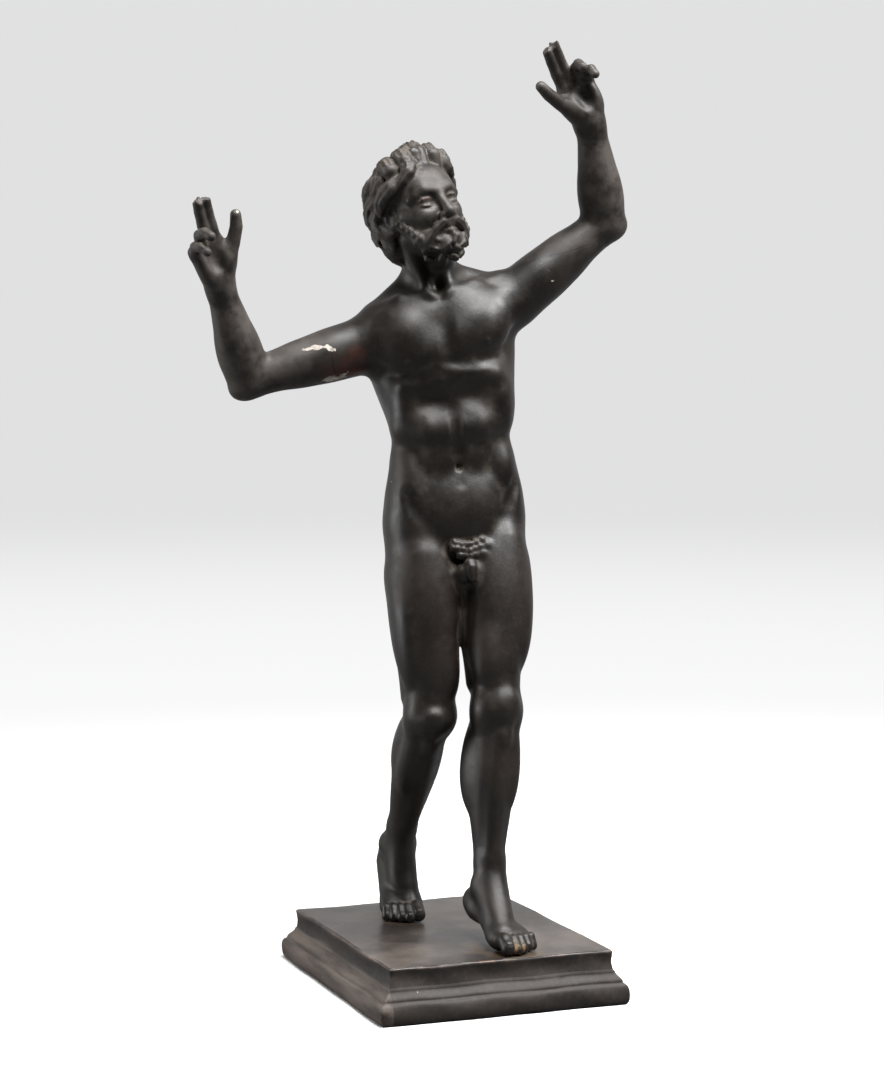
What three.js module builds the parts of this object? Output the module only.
// A bronzed plaster statuette: a bearded dancer with both arms raised, on a moulded plinth.
// Units are millimetres, +Z is up, the figure faces -Y, and the origin is the middle of the
// plinth's underside. The figure is one casting. Its body is a field of blended lumps, one for each
// bone, muscle, finger and lock of hair, and the solid is the level where that field is zero.
import * as THREE from "three";

// Driving dimensions
const PLINTH_TOP_WIDTH = 151;
const PLINTH_TOP_DEPTH = 189;
const PLINTH_HEIGHT = 34;
const FIGURE_GAP = 0.3; // clearance between the soles and the top of the plinth
const CELL = 2.5; // size of the lattice that finds the surface
const BLOCK = 8; // cells along one side of a block that is skipped or kept as a whole
const FIGURE_TRIANGLES = 8600;
const FIGURE_LOW = [-200, -112, -3];
const FIGURE_HIGH = [130, 104, 580];

const THIGH_WIDTHS = [19, 24.5, 23.5, 20.5, 16.5, 15];
const THIGH_DEPTHS = [22, 26.5, 25.5, 22, 18, 16.5];
const THIGH_SHIFTS = [2, 0, -1.5, -1, 0, 0];
const SHIN_WIDTHS = [14.6, 14.4, 15.2, 12.8, 9.8, 8.8];
const SHIN_DEPTHS = [15.5, 15.5, 16.5, 13.4, 10.4, 10.6];
const SHIN_SHIFTS = [0, 2, 3.5, 2.5, 1.5, 1];
const UPPER_ARM_LENGTH = 84;
const UPPER_ARM_WIDTHS = [13, 15.2, 15.6, 14.6, 13.2, 12.6];
const UPPER_ARM_DEPTHS = [14, 16.5, 17, 15.6, 13.4, 12];
const FOREARM_LENGTH = 70;
const FOREARM_WIDTHS = [12.6, 14.2, 13.6, 11.8, 10, 9.4];
const FOREARM_DEPTHS = [12, 13.8, 13, 10.6, 8.4, 7.6];
const HAND_LENGTH = 46;

const BRONZED = { color: 0x2f2b28, roughness: 0.5, metalness: 0.25 };

// Places and directions
const LEFT = 1; // the figure's own left, which is +X
const RIGHT = -1;
const SIDES = [LEFT, RIGHT];
const vector = (x, y, z) => new THREE.Vector3(x, y, z);
const between = (a, b, share) => a.clone().lerp(b, share);
const toward = (from, distance, x, y, z) => (
  from.clone().addScaledVector(vector(x, y, z).normalize(), distance));

class Frame {
  constructor(origin, xAxis, yAxis, zAxis) {
    this.origin = origin;
    this.axes = [xAxis, yAxis, zAxis];
  }

  // A frame turned about Z, then tipped about X, then leaned about Y, in degrees.
  static turned(origin, turn = 0, tip = 0, lean = 0) {
    const radians = [tip, lean, turn].map(THREE.MathUtils.degToRad);
    const spin = new THREE.Matrix4().makeRotationZ(radians[2])
      .multiply(new THREE.Matrix4().makeRotationX(radians[0]))
      .multiply(new THREE.Matrix4().makeRotationY(radians[1]));
    const axes = [vector(), vector(), vector()];
    spin.extractBasis(...axes);
    return new Frame(origin, ...axes);
  }

  // A bone's frame: the origin at its upper end, Z up along the bone and -Y to its front.
  static bone(upper, lower, front) {
    const z = upper.clone().sub(lower).normalize();
    const y = front.clone().negate();
    y.addScaledVector(z, -y.dot(z)).normalize();
    return new Frame(upper, y.clone().cross(z), y, z);
  }

  along(x, y, z) {
    const [u, v, w] = this.axes;
    return vector().addScaledVector(u, x).addScaledVector(v, y).addScaledVector(w, z);
  }

  at(x, y, z) {
    return this.along(x, y, z).add(this.origin);
  }

  // The same axes at a place given in them, turned further.
  on(x, y, z, turn = 0, tip = 0, lean = 0) {
    const own = Frame.turned(vector(), turn, tip, lean);
    return new Frame(this.at(x, y, z), ...own.axes.map((axis) => this.along(axis.x, axis.y, axis.z)));
  }
}

// Lumps: each is a signed distance with the middle and radius of a sphere that holds it

// An ellipsoid on a frame's axes.
function ball(frame, a, b, c) {
  const { x: ox, y: oy, z: oz } = frame.origin;
  const [u, v, w] = frame.axes;
  const distance = (x, y, z) => {
    const p = ((x - ox) * u.x + (y - oy) * u.y + (z - oz) * u.z) / a;
    const q = ((x - ox) * v.x + (y - oy) * v.y + (z - oz) * v.z) / b;
    const r = ((x - ox) * w.x + (y - oy) * w.y + (z - oz) * w.z) / c;
    const near = Math.hypot(p, q, r);
    return near * (near - 1) / Math.max(Math.hypot(p / a, q / b, r / c), 1e-6);
  };
  return { distance, middle: frame.origin, reach: Math.max(a, b, c) };
}

const upright = (origin) => Frame.turned(origin);
const dot = (origin, radius) => ball(upright(origin), radius, radius, radius);

// A cone with round ends. A thin one is pressed flat along a direction to a share of its thickness.
function cone(from, to, startRadius, endRadius, flatAlong = null, share = 1) {
  const axis = to.clone().sub(from);
  const square = axis.lengthSq();
  const press = vector();
  if (flatAlong) press.copy(flatAlong).addScaledVector(axis, -flatAlong.dot(axis) / square).normalize();
  const extra = 1 / share - 1;
  const soften = Math.sqrt(share);
  const distance = (x, y, z) => {
    let dx = x - from.x;
    let dy = y - from.y;
    let dz = z - from.z;
    const t = Math.min(1, Math.max(0, (dx * axis.x + dy * axis.y + dz * axis.z) / square));
    dx -= t * axis.x;
    dy -= t * axis.y;
    dz -= t * axis.z;
    const across = (dx * press.x + dy * press.y + dz * press.z) * extra;
    dx += across * press.x;
    dy += across * press.y;
    dz += across * press.z;
    return (Math.hypot(dx, dy, dz) - startRadius - (endRadius - startRadius) * t) * soften;
  };
  const reach = Math.sqrt(square) / 2 + Math.max(startRadius, endRadius);
  return { distance, middle: between(from, to, 0.5), reach };
}

// A string of round cones through points.
function chain(points, radii) {
  const links = points.slice(1).map((point, i) => cone(points[i], point, radii[i], radii[i + 1]));
  const distance = (x, y, z) => Math.min(...links.map((link) => link.distance(x, y, z)));
  const middle = new THREE.Box3().setFromPoints(points).getCenter(vector());
  const reach = Math.max(...points.map((point) => point.distanceTo(middle))) + Math.max(...radii);
  return { distance, middle, reach };
}

// A value on the smooth curve through evenly spaced stations.
function station(values, share) {
  const last = values.length - 1;
  const i = Math.min(Math.floor(share * last), last - 1);
  const u = share * last - i;
  const b = values[i];
  const c = values[i + 1];
  const a = i > 0 ? values[i - 1] : 2 * b - c;
  const d = i + 2 <= last ? values[i + 2] : 2 * c - b;
  return 0.5 * (2 * b + (c - a) * u + (2 * a - 5 * b + 4 * c - d) * u ** 2
    + (3 * b - a - 3 * c + d) * u ** 3);
}

// A limb down -Z of its bone with an elliptical section at each station.
function limb(bone, length, widths, depths, shifts = [0, 0]) {
  const { x: ox, y: oy, z: oz } = bone.origin;
  const [u, v, w] = bone.axes;
  const distance = (x, y, z) => {
    const down = -((x - ox) * w.x + (y - oy) * w.y + (z - oz) * w.z);
    const share = Math.min(1, Math.max(0, down / length));
    const width = station(widths, share);
    const depth = station(depths, share);
    const least = Math.min(width, depth);
    const p = ((x - ox) * u.x + (y - oy) * u.y + (z - oz) * u.z) / width;
    const q = ((x - ox) * v.x + (y - oy) * v.y + (z - oz) * v.z - station(shifts, share)) / depth;
    return (Math.hypot(p, q, (down - share * length) / least) - 1) * least;
  };
  const reach = length / 2 + Math.max(...widths, ...depths) + 4;
  return { distance, middle: bone.at(0, 0, -length / 2), reach };
}

// The lesser of two distances with their join rounded over a width.
function blend(a, b, width) {
  const near = width > 0 ? Math.max(width - Math.abs(a - b), 0) / width : 0;
  return Math.min(a, b) - near * near * width * 0.25;
}

const FAR = 40;
const MARGIN = 6; // how far beyond its blend a lump is still worked out

class Member {
  constructor(join) {
    this.join = join;
    this.lumps = [];
  }

  add(lump, width = 3) {
    this.lumps.push({ ...lump, width, sign: 1 });
  }

  cut(lump, width = 2) {
    this.lumps.push({ ...lump, width, sign: -1 });
  }

  distance(x, y, z, margin) {
    let found = FAR;
    for (const lump of this.lumps) {
      const dx = x - lump.middle.x;
      const dy = y - lump.middle.y;
      const dz = z - lump.middle.z;
      const limit = lump.reach + lump.width + margin;
      if (dx * dx + dy * dy + dz * dz < limit * limit) {
        found = lump.sign * blend(lump.sign * found, lump.distance(x, y, z), lump.width);
      }
    }
    return found;
  }

  // The point at a depth under the skin, found by stepping out from a start inside.
  underSkin(start, way, depth) {
    const place = start.clone();
    const step = way.clone().normalize();
    for (let round = 0; round < 40; round += 1) {
      place.addScaledVector(step, -this.distance(place.x, place.y, place.z, MARGIN));
    }
    return place.addScaledVector(step, -depth);
  }
}

// The pose: the frames of pelvis, waist, chest and head, and both ends of each bone
const pelvis = Frame.turned(vector(5, 2, 262), -4, 0, -4);
const waist = Frame.turned(vector(2, 4, 312), -9, -2, -5.5);
const chest = Frame.turned(vector(-1, 5, 365), -14, -4, -7);
const head = Frame.turned(vector(-18, 3, 468), 10, -13, -12);
const hip = { [LEFT]: pelvis.at(24, 0, 2), [RIGHT]: pelvis.at(-24, 0, -2) };
const knee = { [LEFT]: vector(20.6, -31, 147), [RIGHT]: vector(-16.5, -9, 143) };
const ankle = { [LEFT]: vector(13, -38, 33), [RIGHT]: vector(-14, 60, 46) };
const shoulder = { [LEFT]: chest.at(46, 2, 37), [RIGHT]: chest.at(-45, 2, 23) };
const elbow = {
  [LEFT]: toward(shoulder[LEFT], UPPER_ARM_LENGTH, 0.74, -0.2, 0.64),
  [RIGHT]: toward(shoulder[RIGHT], UPPER_ARM_LENGTH, -0.95, 0.1, -0.27),
};
const wrist = {
  [LEFT]: toward(elbow[LEFT], FOREARM_LENGTH, -0.24, -0.18, 0.95),
  [RIGHT]: toward(elbow[RIGHT], FOREARM_LENGTH, -0.36, -0.28, 0.89),
};
const handTip = {
  [LEFT]: toward(wrist[LEFT], HAND_LENGTH, -0.5, -0.12, 0.86),
  [RIGHT]: toward(wrist[RIGHT], HAND_LENGTH, -0.42, -0.3, 0.86),
};
// Each foot: the ball of the foot, the way that the toes point and how far the heel is raised
const foot = {
  [LEFT]: { ball: vector(13.6, -71.6, 7.2), toes: vector(0.06, -1, 0), tilt: 15 },
  [RIGHT]: { ball: vector(-17.5, 41.5, 7.2), toes: vector(-0.14, -0.99, 0), tilt: 43 },
};

function torso() {
  const body = new Member(6);
  body.add(ball(chest.on(0, 2, 2), 41, 29, 55), 0);
  body.add(ball(chest.on(0, 4, 30), 44, 24, 24), 14);
  body.add(ball(waist.on(1, 1, 0), 37, 24, 42), 16);
  body.add(ball(pelvis.on(0, 2, 6), 42, 27, 32), 16);
  body.add(ball(pelvis.on(0, -6, 14), 30, 21, 28), 10);
  for (const side of SIDES) {
    flank(body, side);
    chestMuscle(body, side);
    back(body, side);
    belly(body, side);
  }
  body.add(ball(waist.on(0, -13, -34), 23, 13.5, 24), 9);
  for (const side of SIDES) folds(body, side);
  midlines(body);
  navelAndNipples(body);
  neck(body);
  loins(body);
  return body;
}

// Lower ribs, flank, hip and buttock.
function flank(body, side) {
  body.add(ball(chest.on(31 * side + 1.5, 0, -20), 10, 19, 24), 10);
  body.add(ball(waist.on(30 * side + 1, 0, -14), 11, 19, 20), 10);
  body.add(ball(pelvis.on(33 * side + 1.5, 3, 12), 12, 20, 22), 12);
  body.add(ball(pelvis.on(32 * side, 2, -4), 13, 20, 24), 8);
  body.add(ball(pelvis.on(20 * side, 17, -8), 20, 18, 23), 8);
}

// The broad fan from the breastbone to the arm, the collar bone and the slope from the neck.
function chestMuscle(body, side) {
  const fan = chest.on(19.5 * side, -18.5, 17.5 + 3 * side, 13 * side, 0, -14 * side);
  body.add(ball(fan, 24.5, 11.5, 17.5), 5);
  body.add(ball(chest.on(20 * side, -11, 34 + 3 * side, 10 * side), 24, 14, 17), 9);
  const armpit = chest.at(43 * side, -7, 33 + 4 * side);
  body.add(cone(chest.at(26 * side, -17, 26), armpit, 12, 10, chest.along(0, 1, 0), 0.8), 8);
  const collar = chest.at(24 * side, -13, 49 + 2 * side);
  body.add(cone(chest.at(5 * side, -19, 47), collar, 3, 2.4), 5);
  body.add(cone(collar, chest.at(42 * side, -3, 47 + 6 * side), 2.4, 3.2), 5);
  body.add(cone(chest.at(9 * side, 7, 62), chest.at(38 * side, 4, 45 + 5 * side), 9, 9), 9);
}

// Shoulder blade, the broad muscle under the arm and the strand beside the spine.
function back(body, side) {
  body.add(ball(chest.on(23 * side, 19.5, 15, 0, 0, 12 * side), 17, 10.5, 24), 10);
  body.add(ball(chest.on(35.5 * side, 10, 8, 0, 0, 9 * side), 13, 18, 40), 7);
  const strand = [chest.at(9 * side, 22, 12), waist.at(9.5 * side, 19, -8), pelvis.at(8 * side, 19, 20)];
  body.add(chain(strand, [9.5, 9.5, 6]), 9);
}

// The border of the ribs, the roll under it that runs round into the flank, and a weaker row.
function belly(body, side) {
  const arch = [chest.at(2 * side, -21.5, -4), chest.at(14 * side, -22, -3), chest.at(27 * side, -16, -7)];
  body.add(chain(arch, [5, 6, 6.5]), 6);
  const roll = [waist.at(3 * side, -19.6, 15), waist.at(15 * side, -19, 15.5), waist.at(28 * side, -8, 18)];
  body.add(chain(roll, [8, 9, 7.5]), 9);
  body.add(ball(waist.on(9 * side, -15.4, -3), 10.5, 9, 10), 8);
}

// The hollow under the ribs' border, the edge under the chest and the fold from hip bone to groin.
function folds(body, side) {
  body.cut(ball(chest.on(13.5 * side, -33, -20, 14 * side), 13.5, 12, 7.5), 5);
  const edge = [chest.at(5 * side, -32.5, -1 + 2.5 * side), chest.at(19 * side, -32, -3 + 3 * side),
    chest.at(35 * side, -24, 2 + 3 * side)];
  body.cut(chain(edge, [3.6, 4.4, 3.4]), 4);
  const groin = [pelvis.at(38 * side, -19, 27), pelvis.at(28 * side, -25.5, 9),
    pelvis.at(14 * side, -28, -13)];
  body.cut(chain(groin, [1.2, 2.4, 1.4]), 7);
}

// Grooves down the breastbone, the belly, the spine and between the buttocks.
function midlines(body) {
  body.cut(cone(chest.at(0, -33, 44), chest.at(0, -33, 4), 3, 3.5), 6);
  body.cut(cone(chest.at(0, -31, -6), waist.at(0, -28.8, -2), 2.6, 2.4), 5);
  body.cut(cone(waist.at(0, -28.8, -2), waist.at(0, -30.5, -20), 2.2, 1.4), 5);
  const spine = [chest.at(0, 34.5, 46), chest.at(0, 34.5, 10), waist.at(0, 29, -6), pelvis.at(0, 31, 16)];
  body.cut(chain(spine, [2, 3.4, 4.2, 2]), 10);
  const cleft = [pelvis.at(0, 34, 8), pelvis.at(0, 36, -8), pelvis.at(0, 31, -26), pelvis.at(0, 18, -38)];
  body.cut(chain(cleft, [1.5, 3, 4, 4]), 5);
}

function navelAndNipples(body) {
  const navel = body.underSkin(waist.at(0, 0, -10), waist.along(0, -1, 0), 0);
  body.cut(ball(new Frame(navel, ...waist.axes), 1.9, 2.8, 2.3), 2);
  for (const side of SIDES) {
    const inside = chest.at(22 * side, -10, 10 + 4 * side);
    body.add(dot(body.underSkin(inside, chest.along(0.25 * side, -1, 0), 1), 1.8), 1.2);
  }
}

// The neck with its two strings, the throat and the pit between the collar bones.
function neck(body) {
  body.add(cone(chest.at(0, 5, 52), head.at(0, 6, -18), 17, 16.5), 8);
  for (const side of SIDES) {
    body.add(cone(chest.at(4 * side, -18, 50), head.at(15 * side, 5, -14), 3.4, 5.4), 5);
  }
  body.add(ball(upright(between(chest.at(0, -12, 56), head.at(0, -12, -24), 0.55)), 5, 5, 6), 5);
  body.cut(ball(upright(chest.at(0, -23, 53)), 3.4, 4, 3.4), 4);
}

// Small and plain, under three rows of curls.
function loins(body) {
  const middle = [pelvis.at(0, -25, -17), pelvis.at(0, -30.5, -23), pelvis.at(0, -31.5, -30)];
  body.add(chain(middle, [3.6, 3.6, 2.9]), 2);
  for (const side of SIDES) {
    body.add(ball(pelvis.on(4.4 * side, -24.5, -28 - side), 5.4, 5.8, 7), 2.5);
  }
  // For each row: height, number of curls and how far out
  const rows = [[-9, 6, 26], [-12.5, 7, 27], [-16, 5, 27.6]];
  rows.forEach(([rise, count, out], row) => {
    for (let i = 0; i < count; i += 1) {
      const place = i - (count - 1) / 2;
      const lean = 60 * wobble(row, i, 2);
      const square = place * place;
      const root = pelvis.on(3.7 * place, 0.2 * square - out, rise + 0.3 * square, 0, 0, lean);
      const curl = [root.at(-1.3, 0, 1.2), root.at(0.4, -1.2, 0.8), root.at(1.1, -0.8, -1.2)];
      body.add(chain(curl, [1.7, 2, 1.2]), 0.8);
    }
  });
}

function leg(side) {
  const body = new Member(5);
  const thigh = Frame.bone(hip[side], knee[side], vector(0.1 * side, -1, 0));
  body.add(limb(thigh, hip[side].distanceTo(knee[side]), THIGH_WIDTHS, THIGH_DEPTHS, THIGH_SHIFTS), 0);
  body.add(cone(thigh.at(2 * side, -13, -14), thigh.at(2 * side, -9, -92), 11, 6.5), 7);
  body.add(ball(thigh.on(13 * side, -6, -58), 10, 15, 38), 5.5);
  body.add(ball(thigh.on(-9 * side, -8.5, -84, 0, 0, 8 * side), 8.5, 9.5, 20), 9);
  body.add(ball(thigh.on(-12 * side, 2, -28), 12, 17, 30), 8);
  body.add(cone(thigh.at(8 * side, 14, -30), thigh.at(11 * side, 8, -104), 9, 5), 6);
  body.add(cone(thigh.at(-8 * side, 14, -30), thigh.at(-10 * side, 9, -104), 9, 5), 6);
  const shin = Frame.bone(knee[side], ankle[side], vector(0.15 * side, -1, 0));
  const length = knee[side].distanceTo(ankle[side]);
  body.add(limb(shin, length, SHIN_WIDTHS, SHIN_DEPTHS, SHIN_SHIFTS), 4);
  // Calf in two heads, the tendon to the heel, the shin's edge and the muscle beside it
  body.add(ball(shin.on(-6 * side, 12, -35, 0, 0, 3 * side), 10, 11, 30), 7);
  body.add(ball(shin.on(6.5 * side, 11.5, -31, 0, 0, -3 * side), 9.3, 10.5, 26), 7);
  body.add(cone(shin.at(0, 9, -62), shin.at(0, 12.5, -106), 7, 3.6), 6);
  body.add(cone(shin.at(-2 * side, -11, -16), shin.at(-3 * side, -6.5, -92), 5.2, 4.2), 4.5);
  body.add(ball(shin.on(8 * side, -7, -34), 6, 7, 26), 5);
  // Kneecap with its tendon, the knuckles of the knee and the ankle bones
  body.add(ball(shin.on(0, -12.4, 3), 8.8, 5.6, 10), 5);
  body.add(cone(shin.at(0, -13.4, -6), shin.at(-0.5 * side, -12.6, -19), 3.2, 3.6), 4.5);
  body.add(ball(shin.on(-9 * side, -1, -1), 7, 9.5, 12), 7);
  body.add(ball(shin.on(9 * side, -1, -1), 6.5, 9.5, 12), 7);
  body.add(ball(shin.on(-8.2 * side, -0.5, 3 - length), 3.9, 5, 5.8), 4);
  body.add(ball(shin.on(8 * side, 2.5, -1 - length), 3.7, 4.6, 5.8), 4);
  footOf(body, side);
  return body;
}

// Heel and instep follow the raised sole, and the toes lie flat on the plinth.
function footOf(body, side) {
  const { ball: root, toes, tilt } = foot[side];
  const up = vector(0, 0, 1);
  const ahead = toes.clone().normalize();
  const out = up.clone().cross(ahead).multiplyScalar(side);
  const angle = THREE.MathUtils.degToRad(tilt);
  const along = ahead.clone().multiplyScalar(Math.cos(angle)).addScaledVector(up, -Math.sin(angle));
  const top = ahead.clone().multiplyScalar(Math.sin(angle)).addScaledVector(up, Math.cos(angle));
  const sole = new Frame(root, out, along.negate(), top);
  body.add(ball(sole.on(-1, 46, 3.5), 10.2, 12.5, 10.5), 6);
  body.add(cone(ankle[side], sole.at(-2, 14, 7), 9.5, 7, top, 0.85), 6);
  body.add(cone(ankle[side], sole.at(-4, 2, 3.5), 9, 6), 6);
  body.add(cone(between(ankle[side], knee[side], 0.14).add(ahead), sole.at(-1, 18, 8.5), 7.6, 6.5), 8);
  body.add(cone(sole.at(4, 38, -1), sole.at(8, 2, -1.5), 7.5, 5.8), 6);
  body.add(cone(sole.at(-3, 38, 1), sole.at(-6, 2, 0), 7.5, 6.8), 6);
  body.add(ball(sole.on(0, 3, 0), 13.2, 11, 7), 5);
  body.cut(ball(sole.on(-9, 24, -8), 6, 14, 7), 5);
  const flat = new Frame(root, out, ahead.clone().negate(), up);
  const count = 5;
  for (let toe = 0; toe < count; toe += 1) {
    const great = toe === 0;
    const x = great ? -8.2 : -6.4 + 4.65 * toe;
    const length = great ? 19.5 : 21.3 - 2 * toe - 0.16 * toe * toe;
    const thick = great ? 5.2 : 3.85 - 0.15 * toe;
    const tip = great ? 4.6 : 3.35 - 0.08 * toe;
    const joints = [flat.at(x * 0.86, 1.5 + 0.5 * toe, -0.6), flat.at(x * 0.97, -length * 0.5, 1.6),
      flat.at(x, tip - length, tip - 6.9)];
    body.add(chain(joints, [thick * 0.95, thick * 0.9, tip]), 0.8);
  }
}

// The plaster that is left standing under the raised heel.
function heelWedge(body) {
  body.add(chain([vector(-16, 52, 1), vector(-13.5, 74, 1), vector(-13, 75, 32)], [4.6, 5.2, 6]), 2.5);
  body.add(cone(vector(-15, 60, 8), vector(-13, 73, 24), 4.6, 5.6), 2.5);
}

function arm(side) {
  const body = new Member(9);
  const upper = Frame.bone(shoulder[side], elbow[side], vector(0, -1, 0.1));
  const fore = Frame.bone(elbow[side], wrist[side], vector(side > 0 ? -0.2 : 0.3, -1, 0));
  body.add(limb(upper, UPPER_ARM_LENGTH, UPPER_ARM_WIDTHS, UPPER_ARM_DEPTHS), 0);
  body.add(ball(upper.on(0, 0, -5), 18.5, 18, 21), 6);
  body.add(ball(upper.on(0, 0, -24), 16.5, 16.5, 23), 6);
  // Biceps on the inner side of the bend, triceps outside it, and the point of the elbow
  const bend = wrist[side].clone().sub(elbow[side]).normalize()
    .add(shoulder[side].clone().sub(elbow[side]).normalize()).normalize();
  const beside = (share, offset) => new Frame(
    between(shoulder[side], elbow[side], share).addScaledVector(bend, offset), ...upper.axes);
  body.add(ball(beside(0.55, 6.5), 10.2, 10.2, 25), 4);
  body.add(ball(beside(0.42, -6.5), 10.8, 10.8, 27), 4);
  body.add(limb(fore, FOREARM_LENGTH, FOREARM_WIDTHS, FOREARM_DEPTHS), 5);
  body.add(ball(fore.on(5 * side, 0, -17), 8.5, 9.5, 20), 5);
  body.add(ball(fore.on(-5 * side, 1, -18), 8, 9, 19), 5);
  body.add(ball(beside(1, -8), 6, 6, 7), 5);
  body.add(ball(fore.on(6.4 * side, 1.5, 5 - FOREARM_LENGTH), 3.2, 3.4, 4.5), 4);
  handOf(body, side);
  return body;
}

// Fore and middle finger are straight and close together and have lost their tips, the other two
// are half closed, and the thumb stands out.
function handOf(body, side) {
  const hand = Frame.bone(wrist[side], handTip[side], vector(side > 0 ? -0.15 : 0.25, -1, 0));
  hand.axes[2].negate();
  hand.axes[0].negate();
  body.add(cone(wrist[side], hand.at(0, 0, 8), 8.2, 9, hand.axes[1], 0.8), 4);
  for (const x of [-8.5, -3, 3, 8.5]) {
    body.add(cone(hand.at(x * 0.55, 0, 5), hand.at(x, 0, 23), 5.6, 4.6), 3);
  }
  body.add(cone(between(wrist[side], elbow[side], 0.1), hand.at(-7 * side, -2.5, 9), 7.5, 6.2), 6);
  body.add(ball(hand.on(-8.5 * side, -3.5, 10, 0, 0, -20 * side), 5.5, 5, 10), 5);
  body.add(ball(hand.on(7.5 * side, -3, 10), 4.6, 4, 9), 4);
  body.cut(ball(hand.on(0, -9, 15), 5, 5, 7.5), 4);
  // For each finger: place across the palm and along it, bone lengths, curl at each joint, splay
  // and radius
  const fingers = [
    [8.4, 22.5, [12, 9, 8], [4, 6, 4], 1.5, 4.1],
    [2.8, 24, [12, 10, 8], [4, 6, 4], 0.5, 4.1],
    [-3.4, 23, [11, 8, 6], [24, 44, 40], -2, 4.1],
    [-9, 20.5, [9.5, 7, 5.5], [34, 48, 42], -7, 3.7],
  ];
  for (const [across, start, lengths, curls, splay, thick] of fingers) {
    const aside = THREE.MathUtils.degToRad(-splay * side);
    const joints = [hand.at(-across * side, 0, start)];
    let curl = 0;
    lengths.forEach((length, i) => {
      curl += THREE.MathUtils.degToRad(curls[i]);
      const flat = Math.cos(curl);
      const step = hand.along(Math.sin(aside) * flat, -Math.sin(curl), Math.cos(aside) * flat);
      joints.push(joints[i].clone().addScaledVector(step, length));
    });
    body.add(chain(joints, joints.map((_, i) => thick * (1 - 0.07 * i))), 1.2);
  }
  const thumb = [[9, -3, 8], [16, -6, 18], [21, -8, 27], [23.5, -8, 34]];
  body.add(chain(thumb.map(([x, y, z]) => hand.at(-x * side, y, z)), [5.4, 4.5, 4.1, 3.5]), 3.5);
  // Broken ends: place and radius of what is gone
  const broken = [[11.5, -5, 56.5, 5], [5.5, -9, 55, 4.4], [1, -2, 58, 5], [22, -13, 39.5, 4.4]];
  for (const [x, y, z, radius] of broken) {
    body.cut(dot(hand.at(-x * side, y, z), radius), 0.5);
  }
}

function headOf() {
  const body = new Member(4);
  body.add(ball(head.on(0, 3, 9), 22.5, 27, 24), 0);
  body.add(ball(head.on(0, -8.5, -8), 18.5, 17, 24), 6);
  body.add(ball(head.on(0, -13, 10), 17, 12.5, 12), 6);
  for (const side of SIDES) {
    // Jaw, cheek bone, brow, socket, eyeball and ear
    body.add(cone(head.at(15 * side, 0, -17), head.at(4 * side, -20, -27), 5.5, 5.5), 5);
    body.add(cone(head.at(18.5 * side, -8, -5), head.at(10.5 * side, -18.5, -8.5), 4, 5.4), 6);
    const brow = [head.at(2 * side, -23.6, 5), head.at(9 * side, -22.8, 7), head.at(17 * side, -16.5, 3.6)];
    body.add(chain(brow, [3, 3, 2.4]), 4);
    body.cut(ball(head.on(9.6 * side, -26.6, -0.6, 0, 0, 6 * side), 6.4, 5, 4.2), 3);
    body.add(dot(head.at(9.3 * side, -19.2, -0.6), 4.7), 0.8);
    body.add(ball(head.on(22.6 * side, 2.5, -3, -22 * side, 8), 3.2, 5.6, 9), 1.2);
  }
  // Nose with its wings, then the closed lips
  const bridge = [head.at(0, -23, 4.5), head.at(0, -27.5, -3), head.at(0, -31, -10)];
  body.add(chain(bridge, [2.6, 2.9, 3.5]), 3);
  for (const side of SIDES) {
    body.add(ball(head.on(3.7 * side, -27.6, -11.6), 2.4, 3.4, 2.6), 1.5);
  }
  const upperLip = [head.at(-7.5, -23.4, -19), head.at(0, -26.8, -17.8), head.at(7.5, -23.4, -19)];
  body.add(chain(upperLip, [1, 1.7, 1]), 1.2);
  const lowerLip = [head.at(-6.5, -23.4, -20.6), head.at(0, -26.4, -21.6), head.at(6.5, -23.4, -20.6)];
  body.add(chain(lowerLip, [1, 2, 1]), 1.2);
  return body;
}

// A point over the skull: azimuth from the face to the back, height from the ears to the crown.
function overSkull(azimuth, height, out) {
  const a = THREE.MathUtils.degToRad(azimuth);
  const e = THREE.MathUtils.degToRad(height);
  const low = Math.max(0, -Math.sin(e));
  const level = Math.cos(e);
  return head.at((25.5 + out) * Math.sin(a) * level, 5 + 7 * low - (27 + out) * Math.cos(a) * level,
    8 - 9 * low + (26 + out) * Math.sin(e));
}

// A repeatable number between -1 and 1.
const wobble = (a, b, c) => Math.sin(12.9 * a + 7.3 * b + 3.7 * c + 1.1 * a * b);

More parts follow.
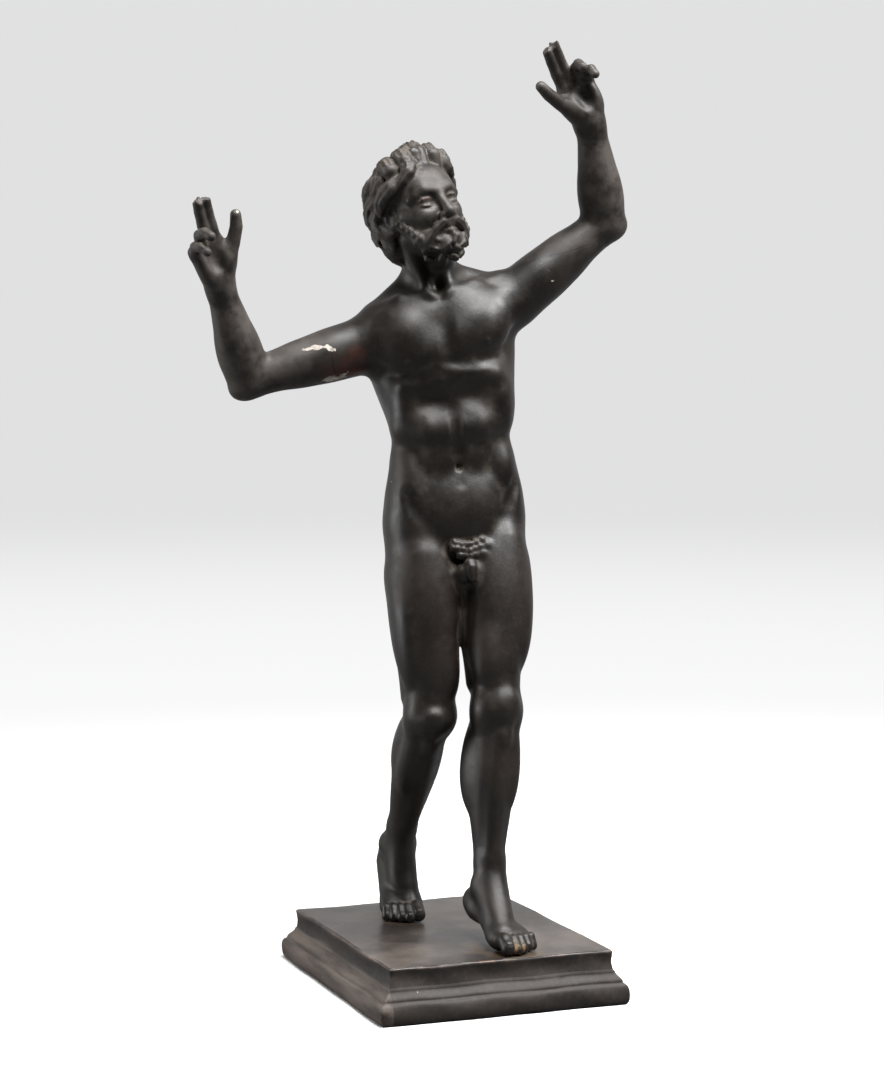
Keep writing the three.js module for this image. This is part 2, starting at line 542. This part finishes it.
// Thick wavy locks in rows from the crown to the nape, and forelocks that rise from the hairline.
function hair() {
  const body = new Member(1.5);
  body.add(ball(head.on(0, 6, 11), 25.5, 26, 24), 0);
  body.add(ball(head.on(0, 19, -9), 20, 14, 20), 6);
  body.cut(ball(head.on(0, -27, -8), 21, 22, 24), 2);
  // For each row: height on the skull, first and last azimuth, locks on a side, length, turn
  // towards the back, thickness and how far the tip lifts
  const rows = [[72, 30, 165, 3, 42, 10, 5.6, 2.5], [50, 48, 170, 4, 48, 16, 5.8, 4],
    [24, 74, 174, 4, 48, 12, 5.8, 5], [0, 98, 172, 3, 50, 10, 5.4, 6.5], [-26, 112, 170, 3, 56, 4, 5.2, 8]];
  const steps = 7;
  rows.forEach(([height, first, last, count, length, turn, thick, lift], row) => {
    for (const side of SIDES) {
      for (let i = 0; i < count; i += 1) {
        const azimuth = first + (last - first) * (i + 0.25 * side) / (count - 0.75);
        const points = [];
        const radii = [];
        for (let j = 0; j <= steps; j += 1) {
          const u = j / steps;
          const phase = u * Math.PI * 1.7 + 2.1 * row + 0.4 * i;
          const swing = (12 + 3 * wobble(row, i, side)) * Math.sin(phase);
          const aside = azimuth + turn * u + 5 * wobble(row, i, side + 4) + swing;
          const out = -1.5 + 3.5 * Math.sin(Math.PI * Math.min(u * 1.2, 1)) + lift * u ** 2;
          points.push(overSkull(side * aside, height + 5 * wobble(row, i, side + 8) - length * u, out));
          radii.push(thick * (0.72 + 0.34 * Math.sin(Math.PI * u)) * (1 - 0.72 * u ** 2.2));
        }
        body.add(chain(points, radii), 0.6);
      }
    }
  });
  // For each point of a forelock: azimuth past its root, height above it and distance from the skull
  const forelock = [[0, 0, -1], [1, 11, 4.5], [6, 20, 6.5], [15, 24, 6], [25, 20, 4.5], [31, 11, 4]];
  for (const side of SIDES) {
    [9, 30, 52].forEach((azimuth, i) => {
      const points = forelock.map(([along, rise, out]) => (
        overSkull(side * (azimuth + along), 45 - 9 * i + rise, out)));
      body.add(chain(points, [4.4, 5.4, 5.4, 4.6, 3.4, 1.6]), 0.6);
    });
    body.cut(ball(head.on(26 * side, -2, -4, -22 * side, 8), 5, 6, 9), 1.5);
  }
  return body;
}

// A short beard of tight curls in rows round the jaw, whiskers before the ears and a moustache.
function beard() {
  const body = new Member(1.5);
  body.add(ball(head.on(0, -15.5, -27), 14, 11, 9.5), 0);
  // For each row: height, how far in front, half width and number of curls
  const rows = [[-24.5, -24, 16, 8], [-30, -24.5, 13.5, 7], [-35.5, -20.5, 9.5, 5]];
  rows.forEach(([height, front, halfWidth, count], row) => {
    for (let i = 0; i < count; i += 1) {
      const place = i / (count - 1) * 2 - 1;
      if (row === 0 && Math.abs(place) < 0.3) continue; // the mouth stays clear
      const curl = (i + row) % 2 ? 0.17 : -0.17;
      const at = (turn, rise, out) => {
        const a = place * 1.3 + turn;
        const forward = front + 13.5 - (11.5 + out) * Math.cos(a);
        return head.at((halfWidth + out) * Math.sin(a), forward, height + rise + 3.5 * Math.abs(place));
      };
      const points = [at(-curl, 3, 0), at(curl, 1.4, 1.6), at(curl * 0.8, -1.6, 2.4),
        at(-curl * 0.6, -3.6, 1.8), at(-curl, -2.2, 1)];
      body.add(chain(points, [2.4, 2.9, 2.7, 2.1, 1.3]), 0.5);
    }
  });
  for (const side of SIDES) {
    body.add(cone(head.at(19 * side, -3, -10), head.at(12 * side, -14, -24), 3.8, 6), 4);
    const curls = 5;
    for (let i = 0; i < curls; i += 1) {
      const u = i / (curls - 1);
      const root = head.on((21 - 5 * u) * side, -4 - 11 * u, -8 - 14 * u);
      const points = [root.at(0, 2.4, 2.6), root.at(1.6 * side, -1.2, 0.8),
        root.at(0.8 * side, -2.4, -2.6)];
      body.add(chain(points, [2.2, 2.9, 1.6]), 0.5);
    }
    const moustache = [head.at(0.8 * side, -27.8, -15), head.at(5 * side, -27.8, -15.6),
      head.at(9.6 * side, -25, -18.4), head.at(12.6 * side, -22.4, -22.5),
      head.at(14.8 * side, -20.4, -25.5)];
    body.add(chain(moustache, [1.7, 2.5, 2.7, 2.3, 1.2]), 0.6);
  }
  return body;
}

// The whole figure as one field, cut level where it stands
function figureField() {
  const rearLeg = leg(RIGHT);
  heelWedge(rearLeg);
  const members = [torso(), leg(LEFT), rearLeg, arm(LEFT), arm(RIGHT), headOf(), hair(), beard()];
  return (x, y, z, margin = MARGIN) => {
    let found = FAR;
    for (const member of members) found = blend(found, member.distance(x, y, z, margin), member.join);
    return Math.max(found, FIGURE_GAP - z);
  };
}

const CORNERS = [0, 1, 2, 3, 4, 5, 6, 7].map((n) => [n >> 2, (n >> 1) & 1, n & 1]);
const EDGES = CORNERS.flatMap((_, a) => [1, 2, 4].filter((bit) => !(a & bit)).map((bit) => [a, a | bit]));

// True where the corners inside, and those outside, each hang together along the cell's edges.
const SIMPLE = Array.from({ length: 256 }, (_, mask) => [mask, 255 - mask].every((set) => {
  let seen = set & -set;
  for (let i = 0; i < 8; i += 1) {
    for (const [a, b] of EDGES) {
      if (((seen >> a) | (seen >> b)) & 1) seen |= ((1 << a) | (1 << b)) & set;
    }
  }
  return seen === set;
}));

// Values of the field on the lattice, only in blocks that the surface may cross.
function sample(field) {
  const counts = FIGURE_LOW.map((low, i) => Math.ceil((FIGURE_HIGH[i] - low) / (CELL * BLOCK)) * BLOCK + 1);
  const values = new Float32Array(counts[0] * counts[1] * counts[2]).fill(NaN);
  const index = (i, j, k) => (i * counts[1] + j) * counts[2] + k;
  const place = (axis, n) => FIGURE_LOW[axis] + n * CELL;
  const cells = [];
  const block = CELL * BLOCK;
  for (let i = 0; i < counts[0] - 1; i += BLOCK) {
    for (let j = 0; j < counts[1] - 1; j += BLOCK) {
      for (let k = 0; k < counts[2] - 1; k += BLOCK) {
        const middle = [i, j, k].map((n, axis) => place(axis, n + BLOCK / 2));
        if (Math.abs(field(...middle, block * 1.3)) > block * 1.1) continue;
        for (let a = i; a <= i + BLOCK; a += 1) {
          for (let b = j; b <= j + BLOCK; b += 1) {
            for (let c = k; c <= k + BLOCK; c += 1) {
              const at = index(a, b, c);
              if (Number.isNaN(values[at])) values[at] = field(place(0, a), place(1, b), place(2, c));
              if (a < i + BLOCK && b < j + BLOCK && c < k + BLOCK) cells.push([a, b, c]);
            }
          }
        }
      }
    }
  }
  return { values, cells, index, place };
}

const maskOf = ({ values, index }, [i, j, k]) => CORNERS.reduce((mask, [a, b, c], n) => (
  values[index(i + a, j + b, k + c)] < 0 ? mask | (1 << n) : mask), 0);

// Fills corners until every cell is simple, so that the surface closes without pinches.
function removePinches(lattice) {
  const { values, cells, index } = lattice;
  for (let changed = true; changed;) {
    changed = false;
    for (const cell of cells) {
      const mask = maskOf(lattice, cell);
      if (SIMPLE[mask]) continue;
      const open = CORNERS.map(([a, b, c]) => index(cell[0] + a, cell[1] + b, cell[2] + c))
        .filter((at) => values[at] >= 0);
      const least = open.reduce((best, at) => (values[at] < values[best] ? at : best));
      values[least] = -0.01;
      changed = true;
    }
  }
}

// One point in each cell that the surface crosses, and a square round each crossed lattice edge.
function surfaceNets(lattice) {
  const { values, cells, index, place } = lattice;
  const pointOf = new Map();
  const points = [];
  for (const cell of cells) {
    const mask = maskOf(lattice, cell);
    if (mask === 0 || mask === 255) continue;
    const sum = [0, 0, 0];
    let crossings = 0;
    for (const [a, b] of EDGES) {
      if (((mask >> a) & 1) === ((mask >> b) & 1)) continue;
      const [low, high] = [a, b].map((n) => values[index(...cell.map((at, axis) => at + CORNERS[n][axis]))]);
      const t = low / (low - high);
      for (let axis = 0; axis < 3; axis += 1) {
        sum[axis] += CORNERS[a][axis] + t * (CORNERS[b][axis] - CORNERS[a][axis]);
      }
      crossings += 1;
    }
    pointOf.set(index(...cell), points.length);
    points.push(cell.map((at, axis) => place(axis, at + sum[axis] / crossings)));
  }
  const triangles = [];
  for (const cell of cells) {
    if (!pointOf.has(index(...cell))) continue;
    for (let axis = 0; axis < 3; axis += 1) {
      const next = cell.map((at, i) => at + (i === axis ? 1 : 0));
      const inside = values[index(...cell)] < 0;
      if (inside === values[index(...next)] < 0) continue;
      const [u, v] = [(axis + 1) % 3, (axis + 2) % 3];
      const ring = [[0, 0], [1, 0], [1, 1], [0, 1]].map(([du, dv]) => pointOf.get(index(
        ...cell.map((at, i) => at - (i === u ? du : 0) - (i === v ? dv : 0)))));
      if (!inside) ring.reverse();
      triangles.push([ring[0], ring[1], ring[2]], [ring[0], ring[2], ring[3]]);
    }
  }
  return { points, triangles };
}

// Leaves out the pockets sealed inside: keeps what hangs together with the highest point.
function outerSkin({ points, triangles }) {
  const beside = points.map(() => []);
  for (const [a, b, c] of triangles) {
    beside[a].push(b);
    beside[b].push(c);
    beside[c].push(a);
  }
  const highest = points.reduce((best, point, i) => (point[2] > points[best][2] ? i : best), 0);
  const seen = new Set([highest]);
  for (const v of seen) beside[v].forEach((w) => seen.add(w));
  return { points, triangles: triangles.filter(([a]) => seen.has(a)) };
}

// Moves each point along the field's slope onto the zero level, by half a cell at most.
function slide(field, points) {
  const probe = 0.25;
  const most = CELL / 2;
  for (const point of points) {
    const start = [...point];
    for (let round = 0; round < 3; round += 1) {
      const [x, y, z] = point;
      const value = field(x, y, z);
      const slope = [
        (field(x + probe, y, z) - field(x - probe, y, z)) / (2 * probe),
        (field(x, y + probe, z) - field(x, y - probe, z)) / (2 * probe),
        (field(x, y, z + probe) - field(x, y, z - probe)) / (2 * probe),
      ];
      const square = Math.max(0.05, slope[0] ** 2 + slope[1] ** 2 + slope[2] ** 2);
      const move = slope.map((part, axis) => point[axis] - value * part / square - start[axis]);
      const share = Math.min(1, most / Math.max(Math.hypot(...move), 1e-9));
      move.forEach((part, axis) => { point[axis] = start[axis] + part * share; });
    }
  }
}

// Error of a point against the planes round it: the ten sums of a quadric
function planeQuadric([x, y, z], [a, b, c]) {
  const d = -(a * x + b * y + c * z);
  return [a * a, a * b, a * c, a * d, b * b, b * c, b * d, c * c, c * d, d * d];
}

function quadricError(q, [x, y, z]) {
  return q[0] * x * x + 2 * q[1] * x * y + 2 * q[2] * x * z + 2 * q[3] * x + q[4] * y * y
    + 2 * q[5] * y * z + 2 * q[6] * y + q[7] * z * z + 2 * q[8] * z + q[9];
}

// The point of least error, or null where the planes leave it open.
function quadricPoint(q) {
  const m = new THREE.Matrix3().set(q[0], q[1], q[2], q[1], q[4], q[5], q[2], q[5], q[7]);
  const scale = (q[0] + q[4] + q[7]) / 3;
  if (Math.abs(m.determinant()) < 1e-3 * scale ** 3) return null;
  return vector(-q[3], -q[6], -q[8]).applyMatrix3(m.invert()).toArray();
}

function faceNormal(a, b, c) {
  const u = [b[0] - a[0], b[1] - a[1], b[2] - a[2]];
  const v = [c[0] - a[0], c[1] - a[1], c[2] - a[2]];
  return [u[1] * v[2] - u[2] * v[1], u[2] * v[0] - u[0] * v[2], u[0] * v[1] - u[1] * v[0]];
}

// A binary heap of edges, the cheapest first.
class EdgeHeap {
  constructor() {
    this.items = [];
  }

  push(item) {
    const { items } = this;
    let i = items.push(item) - 1;
    while (i > 0) {
      const parent = (i - 1) >> 1;
      if (items[parent].cost <= items[i].cost) break;
      [items[parent], items[i]] = [items[i], items[parent]];
      i = parent;
    }
  }

  pop() {
    const { items } = this;
    const first = items[0];
    const last = items.pop();
    if (items.length === 0) return first;
    items[0] = last;
    for (let i = 0; ;) {
      const left = 2 * i + 1;
      if (left >= items.length) break;
      const child = left + 1 < items.length && items[left + 1].cost < items[left].cost ? left + 1 : left;
      if (items[i].cost <= items[child].cost) break;
      [items[child], items[i]] = [items[i], items[child]];
      i = child;
    }
    return first;
  }
}

// Collapses the edges that change the form least until few enough triangles are left.
function thinOut({ points, triangles }, target) {
  const faces = triangles.map((face) => [...face]);
  const facesOf = points.map(() => new Set());
  const quadrics = points.map(() => new Array(10).fill(0));
  faces.forEach((face, id) => {
    const normal = faceNormal(...face.map((v) => points[v]));
    const size = Math.hypot(...normal);
    const quadric = planeQuadric(points[face[0]], normal.map((part) => part / Math.max(size, 1e-12)));
    for (const v of face) {
      facesOf[v].add(id);
      quadric.forEach((part, i) => { quadrics[v][i] += part * size; });
    }
  });
  const stamp = new Int32Array(points.length);
  const heap = new EdgeHeap();
  const neighbours = (v) => new Set([...facesOf[v]].flatMap((id) => faces[id]).filter((w) => w !== v));
  const offer = (a, b) => {
    const quadric = quadrics[a].map((part, i) => part + quadrics[b][i]);
    const middle = points[a].map((part, i) => (part + points[b][i]) / 2);
    const length = Math.hypot(...points[a].map((part, i) => part - points[b][i]));
    let place = quadricPoint(quadric);
    if (!place || Math.hypot(...place.map((part, i) => part - middle[i])) > length) {
      place = [points[a], points[b], middle].reduce((best, p) => (
        quadricError(quadric, p) < quadricError(quadric, best) ? p : best));
    }
    const cost = quadricError(quadric, place) + 1e-4 * length ** 3;
    heap.push({ cost, a, b, place, stamps: stamp[a] + stamp[b] });
  };
  const turnsOver = (v, other, place) => [...facesOf[v]].some((id) => {
    if (faces[id].includes(other)) return false;
    const before = faceNormal(...faces[id].map((w) => points[w]));
    const after = faceNormal(...faces[id].map((w) => (w === v ? place : points[w])));
    const alike = before.reduce((sum, part, i) => sum + part * after[i], 0);
    return alike < 0.35 * Math.hypot(...before) * Math.hypot(...after) || Math.hypot(...after) < 1e-3;
  });
  points.forEach((_, a) => neighbours(a).forEach((b) => { if (a < b) offer(a, b); }));
  let left = faces.length;
  while (left > target && heap.items.length > 0) {
    const { a, b, place, stamps } = heap.pop();
    if (stamps !== stamp[a] + stamp[b] || facesOf[a].size === 0 || facesOf[b].size === 0) continue;
    const shared = [...facesOf[a]].filter((id) => facesOf[b].has(id));
    const around = neighbours(b);
    const common = [...neighbours(a)].filter((v) => around.has(v));
    if (shared.length !== 2 || common.length !== 2) continue;
    if (turnsOver(a, b, place) || turnsOver(b, a, place)) continue;
    for (const id of shared) faces[id].forEach((v) => facesOf[v].delete(id));
    for (const id of facesOf[b]) {
      faces[id][faces[id].indexOf(b)] = a;
      facesOf[a].add(id);
    }
    facesOf[b].clear();
    quadrics[b].forEach((part, i) => { quadrics[a][i] += part; });
    points[a] = place;
    stamp[a] += 1000;
    left -= 2;
    neighbours(a).forEach((v) => offer(a, v));
  }
  const kept = new Set(facesOf.flatMap((ids) => [...ids]));
  return { points, triangles: faces.filter((_, id) => kept.has(id)) };
}

function toGeometry({ points, triangles }) {
  const number = new Map();
  const positions = [];
  const indices = triangles.flat().map((v) => {
    if (!number.has(v)) {
      number.set(v, number.size);
      positions.push(...points[v]);
    }
    return number.get(v);
  });
  const geometry = new THREE.BufferGeometry();
  geometry.setAttribute("position", new THREE.Float32BufferAttribute(positions, 3));
  geometry.setIndex(indices);
  geometry.computeVertexNormals();
  return geometry;
}

function figureGeometry() {
  const field = figureField();
  const lattice = sample(field);
  removePinches(lattice);
  const net = outerSkin(surfaceNets(lattice));
  slide(field, net.points);
  return toGeometry(thinOut(net, FIGURE_TRIANGLES));
}

// The plinth's side from the underside up: a fat round, a groove, a sweep and a hollow band.
// Each point is how far it stands out past the top's edge and its height.
function plinthProfile() {
  const roundHeight = 13.6;
  const roundStart = 5.6;
  const roundSwell = 2.8;
  const sweepFoot = [5, 14.6];
  const sweepHead = [0.9, 21];
  const hollow = 0.8;
  const share = (count) => Array.from({ length: count + 1 }, (_, i) => i / count);
  const round = share(8).map((t) => [roundStart + roundSwell * Math.sin(Math.PI * t),
    roundHeight * (1 - Math.cos(Math.PI * t)) / 2]);
  const sweep = share(6).map((t) => [
    THREE.MathUtils.lerp(sweepFoot[0], sweepHead[0], (1 - Math.cos(Math.PI * t)) / 2),
    THREE.MathUtils.lerp(sweepFoot[1], sweepHead[1], t)]);
  const band = share(4).map((t) => [-hollow * Math.sin(Math.PI * t), 22 + (PLINTH_HEIGHT - 22) * t]);
  return [...round, ...sweep, ...band];
}

// A four-sided lathe gives a square moulding, and its quarters are then drawn apart.
function plinthGeometry() {
  const core = 20;
  const profile = [[-core, 0], ...plinthProfile(), [-core, PLINTH_HEIGHT]];
  const outline = profile.map(([out, height]) => new THREE.Vector2((core + out) * Math.SQRT2, height));
  const geometry = new THREE.LatheGeometry(outline, 4, Math.PI / 4).rotateX(Math.PI / 2);
  const position = geometry.getAttribute("position");
  for (let i = 0; i < position.count; i += 1) {
    const x = Math.abs(position.getX(i)) < 1e-6 ? 0 : Math.sign(position.getX(i));
    const y = Math.abs(position.getY(i)) < 1e-6 ? 0 : Math.sign(position.getY(i));
    position.setX(i, position.getX(i) + x * (PLINTH_TOP_WIDTH / 2 - core));
    position.setY(i, position.getY(i) + y * (PLINTH_TOP_DEPTH / 2 - core));
  }
  geometry.computeVertexNormals();
  return geometry;
}

const part = new THREE.Group();
const plinth = new THREE.Mesh(plinthGeometry(), new THREE.MeshStandardMaterial(BRONZED));
plinth.name = "plinth";
const figure = new THREE.Mesh(figureGeometry(), new THREE.MeshStandardMaterial(BRONZED));
figure.name = "figure";
figure.position.z = PLINTH_HEIGHT;
part.add(plinth, figure);

export default part;
